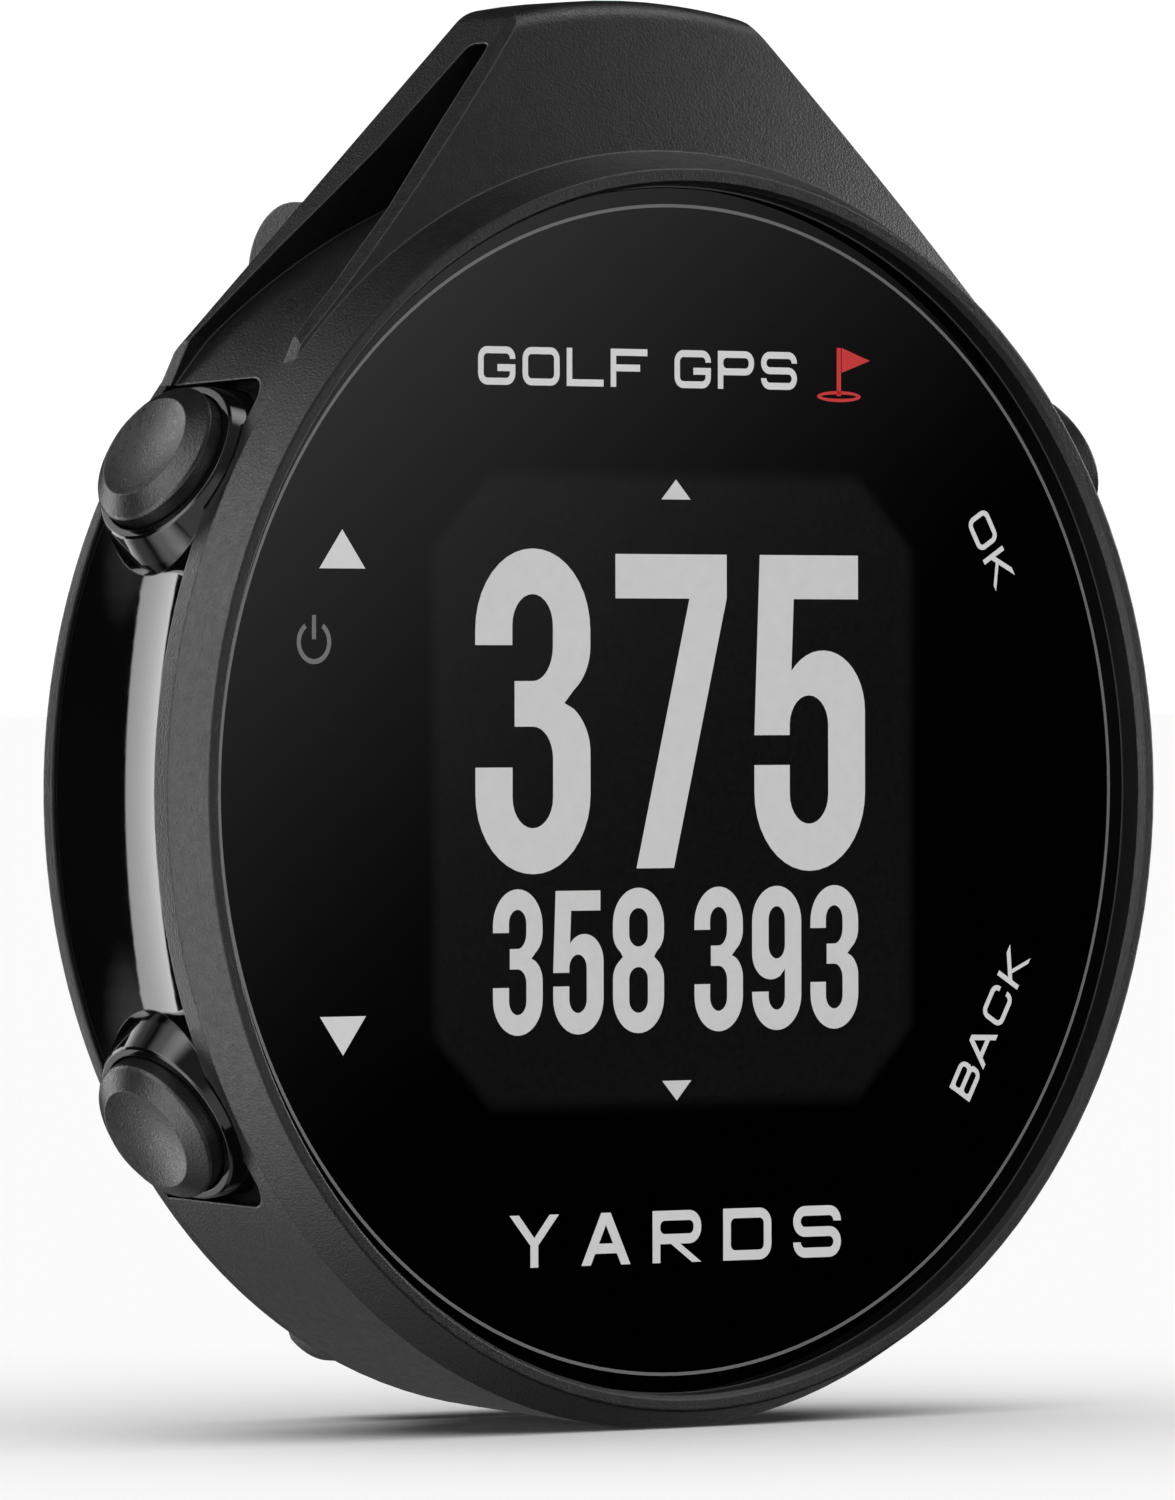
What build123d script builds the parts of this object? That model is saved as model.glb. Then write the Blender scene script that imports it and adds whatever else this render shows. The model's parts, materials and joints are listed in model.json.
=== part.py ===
from build123d import *
import os
from math import acos, cos, degrees, radians, sin

# Golf GPS watch with a tether loop above the case and a sprung belt clip behind it.
# The case is built about the centre of the lens' front face: X to the right, Y from
# the face towards the back, Z up. PLACE then stands it on the flat under the case.

# ---- driving dimensions (mm) ----
CASE_R = 23.03            # widest edge of the bezel
DEPTH = 15.3              # bezel to the back of the clip
LIP = 1.09                # bezel lip stands this far in front of the lens
LIP_R = 21.78             # inside of the lip, round the lens
LIP_INNER = 21.94
LIP_OUTER = 22.35
EDGE_ROUND = 0.12
SIDE_Y = 0.43             # depth of the widest edge
SEAM_Y = 7.57             # seam between the housing and the rear cover
SEAM_R = 22.63
FLANGE_R = 22.60
FLANGE_Y = 8.05
BACK_Y = 9.40             # flat face of the rear cover
BACK_R = 21.25
WALL_R = 21.20            # inside of the side wall
COVER_Y = 8.50            # inside of the rear cover
FOOT_FRONT = (0.26, 22.95)   # (depth, distance below the axis) of the flat the case stands on
FOOT_REAR = (8.05, 22.51)

LENS_R = 21.73
LENS_T = 1.20
LENS_EDGE = 0.05
SEAT_R = 20.05            # inner edge of the ledge that carries the lens
SEAT_Y = 1.35
TAPE_GAP = 0.20

LOOP_R = 28.55            # crown of the tether loop
LOOP_SIDE = 23.27         # distance of the loop's slanted ends from the axis
LOOP_TILT = 43.7          # direction of the slanted ends' normals
LOOP_SLOPE = 0.31         # the loop's front face leans back by this much per mm
LOOP_ROUND = 0.50         # rounding round the loop's rear edge
CROWN_ROUND = 0.90        # rounding of its front top edge
WALL_BEVEL = 0.14         # the front wall's ends start this far in
WALL_LEAN = 13.0          # and lean out towards the rear
SHOULDER = 1.50
STRAP_BACK = ((11.0, -5.0), (5.62, 28.6))   # (depth, height) of the strap's rear face
TUNNEL = ((1.0, 12.5), (1.1, 18.0), (1.35, 20.8), (1.97, 23.8), (2.55, 26.8), (3.7, 26.8),
          (4.5, 23.0), (5.25, 21.0), (5.9, 19.4), (6.6, 17.4), (7.0, 16.2), (7.0, 12.5))

BUTTON_TILT = 30.0
BUTTON_Y = 4.07
COLLAR_R = 3.12
COLLAR_TOP = 23.38        # distance of the collar's rim from the axis
CAP_R = 2.72
CAP_TOP = 24.43           # distance of the key's face from the case axis
CAP_BASE = 23.00
DISH = 0.22               # hollow of the key's face
FACE_R = 1.98             # flat part of the key's face, inside its bevel
STEM_R = 1.00
SEAL_GROOVE_R = 0.68
CLIP_GROOVE_R = 0.70
CLIP_R = 1.75
GUIDE_R = 1.06
NIB_R = 0.45
OK_KEY_RISE = 0.85        # the OK key stands taller than the other three

TRIM_HALF = 39.5          # half angle of a side trim
TRIM_Y0 = 1.24
TRIM_SEAT_R = 21.95       # floor of the pocket that holds a trim
TRIM_GAP = 0.03
TRIM_R = 22.80            # front edge of the trim
WAIST_R = 22.18           # its narrowest point, at WAIST_Y
WAIST_Y = 4.40
TRIM_REAR_R = 22.42

PANEL = 25.4              # display glass
PANEL_Y = 2.35
TAPE = 23.8
FRAME_Y = 3.10
FLEX_Z = (-12.7, -14.6)
BOARD_R = 18.20
BOARD_Y = 5.15
BOARD_T = 0.80
FLEX_T = 0.20

SCREW_R = 19.00
SCREW_ANGLES = (52, 128, 232, 308)
BOSS_R = 1.75
BOSS_END = 6.80
THREAD_R = 0.60
PILOT_R = 0.62
SHANK_HOLE_R = 0.85
HEAD_R = 1.35
HEAD_HOLE_R = 1.45

CONTACT_X = 14.5
CONTACT_R = 0.75
CONTACT_ZS = (-3.81, -1.27, 1.27, 3.81)
CLIP_SCREW_ZS = (-4.5, 8.5)

HINGE_Y = 11.60
HINGE_Z = 18.73
BARREL_R = 2.60
BUSH_R = 1.95             # room round the spring inside the barrel
PIN_R = 0.75
ARM_HALF = 8.35           # half width of the arm at the hinge
TIP_HALF = 6.55           # and at its tip
ARM_LOW = -20.90
ARM_Y = 12.75             # face of the arm towards the case
EAR_X = 4.5
EAR_HALF = 0.9

PLACE = Location((0, LIP - DEPTH / 2, FOOT_FRONT[1]))


# ---- shapes that repeat ----
def turned(*outline, soft=(), radius=EDGE_ROUND):
    """Solid of revolution about the case axis from (radius, depth) points; soft ones are rounded."""
    sketch = make_face(Polyline(*outline, close=True))
    if soft:
        chosen = [sketch.vertices().sort_by_distance(point)[0] for point in soft]
        sketch = fillet(chosen, radius)
    return revolve(sketch, Axis.Y)


def lathe(*outline):
    """Solid of revolution about Z from (radius, height) points."""
    profile = Plane.XZ * make_face(Polyline(*outline, close=True))
    return revolve(profile, Axis.Z)


def drum(radius, y0, y1, x=0, z=0):
    """Cylinder along Y."""
    return Pos(x, (y0 + y1) / 2, z) * Rot(90, 0, 0) * Cylinder(radius, y1 - y0)


def axle(radius, x0, x1, y=HINGE_Y, z=HINGE_Z):
    """Cylinder along X, on the hinge's axis unless told otherwise."""
    return Pos((x0 + x1) / 2, y, z) * Rot(0, 90, 0) * Cylinder(radius, x1 - x0)


def block(x, y, z):
    """Box from (low, high) pairs."""
    size = [high - low for low, high in (x, y, z)]
    middle = [(high + low) / 2 for low, high in (x, y, z)]
    return Pos(*middle) * Box(*size)


def plate(outline, y0, y1):
    """Front-view sketch given a thickness along Y."""
    return extrude(Plane.XZ.offset(-y0) * outline, -(y1 - y0))


def across(points, half):
    """Side-view (depth, height) outline given a width along X."""
    return extrude(Plane.YZ * make_face(Polyline(*points, close=True)), half, both=True)


def square(side, y0, y1):
    return block((-side / 2, side / 2), (y0, y1), (-side / 2, side / 2))


def button_frame(angle):
    """Frame whose Z runs outwards along a button's axis."""
    out = (cos(radians(angle)), 0, sin(radians(angle)))
    return Plane(origin=(0, BUTTON_Y, 0), x_dir=(0, 1, 0), z_dir=out).location


def polar(radius, angle):
    return radius * cos(radians(angle)), radius * sin(radians(angle))


# name, angle about the case axis, extra height of the key
BUTTONS = (
    ("up_button", 180 - BUTTON_TILT, 0.0),
    ("down_button", 180 + BUTTON_TILT, 0.0),
    ("ok_button", BUTTON_TILT, OK_KEY_RISE),
    ("back_button", -BUTTON_TILT, 0.0),
)
SCREW_SPOTS = tuple(polar(SCREW_R, angle) for angle in SCREW_ANGLES)


# ---- case ----
def end_point(along_x):
    """Point of the loop's slanted end line at a distance from the centre plane."""
    tilt = radians(LOOP_TILT)
    return along_x, (LOOP_SIDE - along_x * cos(tilt)) / sin(tilt)


def loop_outline():
    """Front view of the tether loop: long slanted ends under an arched crown."""
    low_x, low_z = end_point(27.5)
    top_x, top_z = polar(LOOP_R, LOOP_TILT + degrees(acos(LOOP_SIDE / LOOP_R)))
    face = make_face([
        Line((-low_x, low_z), (-top_x, top_z)),
        ThreePointArc((-top_x, top_z), (0, LOOP_R), (top_x, top_z)),
        Line((top_x, top_z), (low_x, low_z)),
        Line((low_x, low_z), (-low_x, low_z)),
    ])
    shoulders = face.vertices().sort_by(Axis.Y)[-2:]
    return fillet(shoulders, SHOULDER)


def loop_limit():
    """Front view of where the loop may be: its feet curve in to meet the case."""
    foot_x, foot_z = polar(LOOP_SIDE, LOOP_TILT)
    bend_x, bend_z = polar(22.86, 39.6)
    end_x, end_z = polar(FLANGE_R, 35.0)
    above = ((-foot_x, foot_z), (-30, foot_z + 8), (-30, 40), (30, 40), (30, foot_z + 8), (foot_x, foot_z))
    return make_face([
        ThreePointArc((-end_x, end_z), (-bend_x, bend_z), (-foot_x, foot_z)),
        Polyline(*above),
        ThreePointArc((foot_x, foot_z), (bend_x, bend_z), (end_x, end_z)),
        Line((end_x, end_z), (-end_x, end_z)),
    ])


def wall_end():
    """What the front wall's leaning end on the +X side leaves out."""
    points = []
    for along_x in (15.0, 7.0):
        x, z = end_point(along_x)
        points.append(Vector(x, SIDE_Y + LOOP_SLOPE * (Vector(x, 0, z).length - CASE_R), z))
    foot, top = points
    edge = (top - foot).normalized()
    out_x, out_z = polar(1, LOOP_TILT)
    outward = Vector(out_x, 0, out_z)
    front = edge.cross(outward)
    if front.Y > 0:
        front = -front
    lean = radians(WALL_LEAN)
    normal = outward * cos(lean) + front * sin(lean)
    plane = Plane(origin=foot - outward * WALL_BEVEL, x_dir=edge, z_dir=normal)
    return plane.location * Pos(0, 0, 5) * Box(60, 12, 10)


def loop():
    """Front wall, crown and rear strap round the tether tunnel."""
    (low_y, low_z), (high_y, high_z) = STRAP_BACK
    strap = across([(-1, low_z), (low_y, low_z), (high_y, high_z), (-1, high_z)], 30)
    round_r = LOOP_R - CROWN_ROUND
    round_y = SIDE_Y + LOOP_SLOPE * (round_r - CASE_R)
    face = revolve(make_face([
        Polyline((0, 12), (0, SIDE_Y), (CASE_R, SIDE_Y), (round_r, round_y)),
        ThreePointArc((round_r, round_y), (LOOP_R - 0.28, round_y + 0.35), (LOOP_R, round_y + 1.1)),
        Polyline((LOOP_R, round_y + 1.1), (LOOP_R + 8, round_y + 1.1), (LOOP_R + 8, 12), (0, 12)),
    ]), Axis.Y)
    solid = plate(loop_outline(), -1, 12) & strap
    rear = solid.faces().filter_by(lambda f: f.normal_at().Y > 0.9).sort_by(Axis.Y)[-1]
    rim = rear.edges().filter_by(lambda e: e.center().Z > 0)
    solid = fillet(rim, LOOP_ROUND) & face
    solid = solid & plate(loop_limit(), -1, SEAM_Y)
    end = wall_end()
    solid -= end
    solid -= mirror(end, Plane.YZ)
    tunnel = make_face(Polyline(*TUNNEL, close=True))
    tunnel = fillet(tunnel.vertices().sort_by(Axis.Y)[-2:], 0.35)
    return solid - extrude(Plane.YZ * tunnel, 22, both=True)


def housing_outline():
    """Outside of the case: lip, chamfers and tapering side."""
    lip_edge = (LIP_OUTER, -LIP)
    return turned(
        (0, -0.85), (LIP_R, -0.85), (LIP_INNER, -LIP), lip_edge, (CASE_R, SIDE_Y), (SEAM_R, SEAM_Y),
        (0, SEAM_Y), soft=(lip_edge,),
    )


def under_foot():
    """Room below the narrow flat under the case, which leans with the taper of the side."""
    (front_y, front_z), (rear_y, rear_z) = FOOT_FRONT, FOOT_REAR
    slope = (front_z - rear_z) / (rear_y - front_y)
    low = front_z + 3 * slope
    high = rear_z - 3 * slope
    return across([(front_y - 3, -low), (rear_y + 3, -high), (rear_y + 3, -26), (front_y - 3, -26)], 6)


def trim_pocket():
    """Space for a side trim on the +X side, with rounded front corners."""
    rear = SEAM_Y + 1
    ring = turned((TRIM_SEAT_R, TRIM_Y0), (26, TRIM_Y0), (26, rear), (TRIM_SEAT_R, rear))
    end_z = 22.85 * sin(radians(TRIM_HALF))
    slant = 0.15
    front, back = end_z + slant, end_z - slant
    shape = make_face(Polyline((TRIM_Y0, -front), (TRIM_Y0, front), (9, back), (9, -back), close=True))
    shape = fillet(shape.vertices().sort_by(Axis.X)[:2], 1.1)
    return ring & extrude(Plane.YZ * shape, 30)


def front_housing():
    body = housing_outline() + loop()
    inside = turned(
        (0, -2), (LIP_R, -2), (LIP_R, SEAT_Y), (SEAT_R, SEAT_Y), (SEAT_R, 2.15), (WALL_R, 2.60),
        (WALL_R, SEAM_Y + 1), (0, SEAM_Y + 1),
    )
    # button guides and screw posts stand in the hollow
    keep = Part()
    for _, angle, _ in BUTTONS:
        keep += button_frame(angle) * Pos(0, 0, 20.6) * Cylinder(2.1, 2.2)
    for x, z in SCREW_SPOTS:
        keep += drum(BOSS_R, 2.0, BOSS_END, x, z)
        rib = block((x - 0.4, x + 0.4), (2.0, BOSS_END), (z, z + 1))
        keep += rib & drum(WALL_R + 0.5, 0, 9)
    reach = WALL_R + 0.4
    keep &= turned((0, 2.0), (reach, 2.0), (reach, BOSS_END), (0, BOSS_END))
    body -= inside - keep
    pocket = trim_pocket()
    body -= pocket
    body -= mirror(pocket, Plane.YZ)
    for _, angle, _ in BUTTONS:
        body -= button_frame(angle) * Pos(0, 0, 21) * Cylinder(GUIDE_R, 6)
    for x, z in SCREW_SPOTS:
        body -= drum(PILOT_R, 3.4, 7, x, z)
    return body - under_foot()


def side_trim():
    """Glossy waist strip on the +X side, with a raised collar round each button."""
    seat = TRIM_SEAT_R + 0.02
    rear = SEAM_Y - TRIM_GAP
    waist = revolve(make_face([
        Line((seat, TRIM_Y0), (TRIM_R, TRIM_Y0)),
        ThreePointArc((TRIM_R, TRIM_Y0), (WAIST_R, WAIST_Y), (TRIM_REAR_R, rear)),
        Line((TRIM_REAR_R, rear), (seat, rear)),
        Line((seat, rear), (seat, TRIM_Y0)),
    ]), Axis.Y)
    strip = waist & trim_pocket()
    edge = CASE_R + 0.01
    room = turned((seat, rear), (seat, TRIM_Y0), (edge, TRIM_Y0), (edge, 0.6), (26, 0.6), (26, rear))
    flare = lathe(
        (0, 20.9), (4.15, 20.9), (3.62, 22.3), (COLLAR_R + 0.03, COLLAR_TOP - 0.08),
        (COLLAR_R - 0.05, COLLAR_TOP), (0, COLLAR_TOP),
    )
    for angle in (BUTTON_TILT, -BUTTON_TILT):
        strip += button_frame(angle) * flare & room
    for angle in (BUTTON_TILT, -BUTTON_TILT):
        strip -= button_frame(angle) * Pos(0, 0, 23) * Cylinder(CAP_R + 0.10, 4)
    return strip


def rear_cover():
    shell = turned(
        (0, SEAM_Y), (FLANGE_R, SEAM_Y), (FLANGE_R, FLANGE_Y), (BACK_R, BACK_Y), (0, BACK_Y),
        soft=((FLANGE_R, SEAM_Y), (FLANGE_R, FLANGE_Y)),
    )
    spigot_r = WALL_R - 0.1
    spigot = turned((19.6, 6.95), (spigot_r, 6.95), (spigot_r, SEAM_Y + 0.2), (19.6, SEAM_Y + 0.2))
    groove = turned((20.55, 7.1), (22, 7.1), (22, 7.45), (20.55, 7.45))
    hollow = turned((0, SEAM_Y - 1), (19.7, SEAM_Y - 1), (19.7, 8.05), (18.9, COVER_Y), (0, COVER_Y))
    pad = block((-9, 9), (8.0, 9.0), (14.6, 19.0))
    trough = block((-8.75, 8.75), (BACK_Y - 0.65, 12), (HINGE_Z - 3.1, 25))
    shell = shell + spigot - groove
    shell = shell - (hollow - pad) - trough
    for x, z in SCREW_SPOTS:
        shell += drum(2.1, 6.85, 8.6, x, z) & drum(20.4, 0, 9)
        shell -= drum(SHANK_HOLE_R, 6, 10, x, z) + drum(HEAD_HOLE_R, 8.1, 10, x, z)
    for z in CONTACT_ZS:
        shell -= drum(CONTACT_R + 0.02, 7, 10, CONTACT_X, z)
    for z in CLIP_SCREW_ZS:
        shell -= drum(PILOT_R, 8.0, 10, 0, z)
    return shell - under_foot()


def screw(x, z, tip_y, head_y, top_y):
    """Pan-head screw along Y with a cross recess."""
    shape = drum(THREAD_R, tip_y, head_y + 0.1, x, z) + drum(HEAD_R, head_y, top_y, x, z)
    for width, height in ((1.5, 0.36), (0.36, 1.5)):
        shape -= Pos(x, top_y, z) * Box(width, 0.6, height)
    return shape


def cover_screws():
    """Through the cover into the housing's posts."""
    return Part() + [screw(x, z, 3.7, 8.1, 9.0) for x, z in SCREW_SPOTS]


# ---- face ----
def lens():
    return turned((0, 0), (LENS_R - LENS_EDGE, 0), (LENS_R, LENS_EDGE), (LENS_R, LENS_T), (0, LENS_T))


def lens_adhesive():
    inner, outer = SEAT_R + TAPE_GAP, LENS_R - TAPE_GAP
    return turned((inner, LENS_T), (outer, LENS_T), (outer, SEAT_Y), (inner, SEAT_Y))


def display_frame():
    return square(PANEL + 0.9, PANEL_Y, FRAME_Y) - square(PANEL - 3.0, 2.7, 4)


def display_flex():
    """Ribbon from the display's lower edge round to the front of the board."""
    front, (high, low) = 2.05, FLEX_Z
    inner = low + FLEX_T
    path = [(front, high), (front, low), (BOARD_Y, low), (BOARD_Y, inner), (front + FLEX_T, inner),
            (front + FLEX_T, high)]
    return across(path, 4)


# ---- buttons ----
def cap(rise):
    """Dished key top on a stem with a seal groove and a clip groove."""
    top = CAP_TOP + rise
    crown = ThreePointArc((0, top - DISH), (FACE_R / 2, top - 0.75 * DISH), (FACE_R, top))
    rest = Polyline(
        (FACE_R, top), (CAP_R - 0.08, top - 0.42), (CAP_R, top - 0.52), (CAP_R, CAP_BASE),
        (STEM_R, CAP_BASE), (STEM_R, 21.15), (SEAL_GROOVE_R, 21.15), (SEAL_GROOVE_R, 20.55),
        (STEM_R, 20.55), (STEM_R, 19.40), (CLIP_GROOVE_R, 19.40), (CLIP_GROOVE_R, 19.05),
        (STEM_R, 19.05), (STEM_R, 18.75), (0, 18.75), (0, top - DISH),
    )
    profile = Plane.XZ * make_face([crown] + list(rest.edges()))
    return revolve(profile, Axis.Z)


def seal_ring():
    return Pos(0, 0, 20.85) * Torus(SEAL_GROOVE_R + 0.185, 0.18)


def stem_clip():
    ring = lathe((CLIP_GROOVE_R, 19.10), (CLIP_R, 19.10), (CLIP_R, 19.34), (CLIP_GROOVE_R, 19.34))
    return ring - Pos(1.2, 0, 19.2) * Box(2.4, 1.0, 1)


def plunger():
    return lathe((0, 17.9), (NIB_R, 17.9), (NIB_R, 18.75), (0, 18.75))


def switch_bodies():
    """Right-angle tactile switches standing on the front of the board."""
    group = Part()
    for _, angle, _ in BUTTONS:
        frame = button_frame(angle)
        body = frame * Pos(0, 0, 16.9) * Box(2.0, 3.2, 2.0)
        nose = frame * Pos(0, 0, 18.0) * Cylinder(0.85, 0.3)
        bore = frame * Pos(0, 0, 17.6) * Cylinder(NIB_R + 0.05, 1.4)
        foot = frame * Pos(1.03, 0, 16.9) * Box(0.10, 2.4, 1.6)
        group += body + nose + foot - bore
    return group


# ---- inside ----
def main_board():
    board = drum(BOARD_R, BOARD_Y, BOARD_Y + BOARD_T)
    for x, z in SCREW_SPOTS:
        board -= drum(BOSS_R + 0.35, 4, 7, x, z)
    return board


def on_board(x, z, height):
    """Part standing on the rear of the board."""
    return block(x, (BOARD_Y + BOARD_T, BOARD_Y + BOARD_T + height), z)


def charging_contacts():
    return Part() + [drum(CONTACT_R, 7.3, BACK_Y + 0.05, CONTACT_X, z) for z in CONTACT_ZS]


# ---- belt clip ----
def clip_base():
    """Bracket on the cover, with two ears that carry the hinge pin."""
    foot = make_face(Polyline((-6.5, -8), (6.5, -8), (6.5, 15.2), (-6.5, 15.2), close=True))
    foot = fillet(foot.vertices().sort_by(Axis.Y)[:2], 2.5)
    base = plate(foot, BACK_Y, BACK_Y + 1.0)
    ear = across([
        (BACK_Y, 11.5), (BACK_Y, 15.3), (HINGE_Y - 1.7, 16.8), (HINGE_Y - 1.0, HINGE_Z + 1.5),
        (HINGE_Y + 1.0, HINGE_Z + 1.5), (HINGE_Y + 1.35, HINGE_Z - 0.7), (10.6, 11.5),
    ], EAR_HALF)
    for x in (-EAR_X, EAR_X):
        base += Pos(x, 0, 0) * ear
        base += axle(1.7, x - EAR_HALF, x + EAR_HALF)
    base -= axle(PIN_R + 0.01, -9, 9)
    for z in CLIP_SCREW_ZS:
        base -= drum(SHANK_HOLE_R, 9, 12, 0, z) + drum(HEAD_HOLE_R, BACK_Y + 0.5, 12, 0, z)
    return base


def clip_screws():
    return Part() + [screw(0, z, 8.55, 9.95, 10.4) for z in CLIP_SCREW_ZS]


def arm_outline():
    """Rear view of the clip arm with its rounded tip."""
    corners = ((-TIP_HALF, ARM_LOW), (TIP_HALF, ARM_LOW), (ARM_HALF, HINGE_Z), (-ARM_HALF, HINGE_Z))
    shape = make_face(Polyline(*corners, close=True))
    return fillet(shape.vertices().sort_by(Axis.Y)[:2], 1.6)


def clip_arm():
    """Spring-loaded arm: hinge knuckles, a long blade, a hooked tip and a low ridge on top."""
    back = DEPTH - LIP
    blade = across([
        (ARM_Y, HINGE_Z), (ARM_Y, -14.0), (10.3, -17.6), (10.3, -18.9), (11.8, ARM_LOW),
        (back - 0.5, ARM_LOW), (back, ARM_LOW + 0.8), (back, HINGE_Z),
    ], ARM_HALF)
    blade = blade & plate(arm_outline(), 5, 20)
    bush = 5.6
    knuckles = axle(BARREL_R, bush, ARM_HALF) + axle(BARREL_R, -ARM_HALF, -bush)
    roof = axle(BARREL_R, -bush, bush) - axle(BUSH_R, -bush, bush)
    roof &= block((-bush, bush), (HINGE_Y + 0.9, 15), (17.3, 22))
    ridge = across([
        (ARM_Y, HINGE_Z + 1.1), (back, HINGE_Z - 1.0), (back, 20.7), (back - 0.5, 21.3), (back - 1.5, 21.3),
        (ARM_Y - 0.2, 20.9),
    ], 5.2)
    arm = blade + knuckles + roof + ridge
    arm -= axle(BUSH_R, -bush, bush)
    arm -= axle(PIN_R + 0.04, -9, 9)
    for x in (-ARM_HALF, ARM_HALF):
        arm -= axle(1.30, x - 0.35, x + 0.35)
    return arm


def clip_pin():
    return axle(PIN_R, -ARM_HALF + 0.45, ARM_HALF - 0.45)


def clip_spring():
    """Torsion spring: closed coils round the pin, one leg on the base, one on the arm."""
    coil = axle(1.45, -2.6, 2.6) - axle(0.85, -2.6, 2.6)
    low_leg = Pos(-2.3, HINGE_Y - 0.90, HINGE_Z - 2.9) * Rot(14, 0, 0) * Cylinder(0.28, 5.0)
    high_leg = Pos(2.3, HINGE_Y + 0.75, HINGE_Z - 3.3) * Cylinder(0.28, 5.4)
    return coil + low_leg + high_leg


def write(name, shape):
    export_step(PLACE * shape, "parts/" + name + ".step")


os.makedirs("parts", exist_ok=True)

write("front_housing", front_housing())
write("lens", lens())
write("lens_adhesive", lens_adhesive())
trim = side_trim()
write("side_trim_right", trim)
write("side_trim_left", mirror(trim, Plane.YZ))

write("display_adhesive", square(TAPE, LENS_T, LENS_T + 0.15))
write("display_panel", square(PANEL, LENS_T + 0.15, PANEL_Y))
write("display_frame", display_frame())
write("display_flex", display_flex())

for name, angle, rise in BUTTONS:
    spot = button_frame(angle)
    write(name + "_cap", spot * cap(rise))
    write(name + "_seal", spot * seal_ring())
    write(name + "_clip", spot * stem_clip())
    write(name + "_plunger", spot * plunger())
write("side_switches", switch_bodies())

write("main_board", main_board())
write("shield_can", on_board((-6, 6), (-17, -11.2), 1.3))
write("gps_antenna", block((-6.4, 6.4), (3.0, BOARD_Y), (13.7, 17.3)))
write("buzzer", drum(3.4, BOARD_Y + BOARD_T, 7.6, 0, 14.0))
write("battery_pad", on_board((-11, 11), (-9.5, 9.0), 0.2))
write("battery", block((-12, 12), (6.15, 8.40), (-10.4, 9.8)))

gasket = turned((20.60, 7.12), (WALL_R - 0.02, 7.12), (WALL_R - 0.02, 7.43), (20.60, 7.43))
write("cover_gasket", gasket)
write("rear_cover", rear_cover())
write("cover_screws", cover_screws())
write("charging_contacts", charging_contacts())

write("clip_base", clip_base())
write("clip_screws", clip_screws())
write("clip_pin", clip_pin())
write("clip_spring", clip_spring())
write("clip_arm", clip_arm())
write("clip_pad", block((-5, 5), (9.75, 10.30), (-18.75, -17.75)))
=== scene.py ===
"""Golf GPS watch with a tether loop and a belt clip: looks, prints and studio."""
import json
import math

import bmesh
import bpy
from mathutils import Matrix, Vector


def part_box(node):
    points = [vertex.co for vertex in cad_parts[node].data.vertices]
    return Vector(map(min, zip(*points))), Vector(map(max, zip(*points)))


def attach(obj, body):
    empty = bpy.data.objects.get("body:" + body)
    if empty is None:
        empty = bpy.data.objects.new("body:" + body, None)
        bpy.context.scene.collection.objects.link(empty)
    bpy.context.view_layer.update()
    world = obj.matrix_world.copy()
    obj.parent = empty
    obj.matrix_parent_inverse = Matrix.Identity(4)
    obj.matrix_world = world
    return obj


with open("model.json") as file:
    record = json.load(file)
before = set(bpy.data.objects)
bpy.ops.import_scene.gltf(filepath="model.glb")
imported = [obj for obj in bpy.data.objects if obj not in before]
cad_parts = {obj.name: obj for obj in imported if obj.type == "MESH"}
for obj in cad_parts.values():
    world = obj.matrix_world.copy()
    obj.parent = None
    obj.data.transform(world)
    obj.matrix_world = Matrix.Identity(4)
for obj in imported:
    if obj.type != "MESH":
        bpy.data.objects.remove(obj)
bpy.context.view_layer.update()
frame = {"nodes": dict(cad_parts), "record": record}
NODES = frame["nodes"]
MM = 0.001

# centre of the lens' front face, where the case axis leaves it
LENS_LOW, LENS_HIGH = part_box("lens")
AXIS = Vector(((LENS_LOW.x + LENS_HIGH.x) / 2, LENS_LOW.y, (LENS_LOW.z + LENS_HIGH.z) / 2))


# ---------------------------------------------------------------- camera
CAMERA_AZIMUTH = -40.481    # degrees, from straight in front towards the left
CAMERA_ELEVATION = 0.411
CAMERA_ROLL = -0.074
CAMERA_DISTANCE = 0.48894   # metres from the centre of the lens
CAMERA_LENS = 325.6
CAMERA_SHIFT = (-0.0592, 0.0267)


def make_camera():
    data = bpy.data.cameras.new("camera")
    camera = bpy.data.objects.new("camera", data)
    bpy.context.scene.collection.objects.link(camera)
    bpy.context.scene.camera = camera
    azimuth, elevation = math.radians(CAMERA_AZIMUTH), math.radians(CAMERA_ELEVATION)
    back = Vector((math.sin(azimuth) * math.cos(elevation),
                   -math.cos(azimuth) * math.cos(elevation), math.sin(elevation)))
    camera.location = AXIS + back * CAMERA_DISTANCE
    turn = (-back).to_track_quat("-Z", "Y").to_matrix().to_4x4()
    roll = Matrix.Rotation(math.radians(CAMERA_ROLL), 4, "Z")
    camera.matrix_world = Matrix.Translation(camera.location) @ turn @ roll
    data.sensor_width = 36
    data.lens = CAMERA_LENS
    data.shift_x, data.shift_y = CAMERA_SHIFT
    data.clip_start = 0.01
    data.clip_end = 60


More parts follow.
